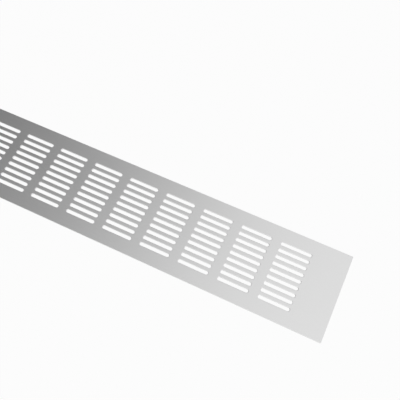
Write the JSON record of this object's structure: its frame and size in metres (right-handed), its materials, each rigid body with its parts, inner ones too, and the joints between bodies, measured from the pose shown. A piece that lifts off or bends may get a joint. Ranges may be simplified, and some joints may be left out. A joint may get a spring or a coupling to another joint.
{
  "type": "slotted ventilation panel",
  "caption": "Long flat strip of satin anodised aluminium sheet with groups of parallel punched slots, laid or fixed over a vent opening to let air through.",
  "frame": {"origin": "centre of the back face, on the plane that the strip lies on", "axes": "+X along the strip, +Y across it, +Z out of its face"},
  "size_m": [0.8, 0.1, 0.0015],
  "materials": {
    "anodised_aluminium": "satin, natural anodised, fine brushed grain along the strip"
  },
  "bodies": {
    "root": {"slotted_panel": "anodised_aluminium"}
  },
  "joints": []
}
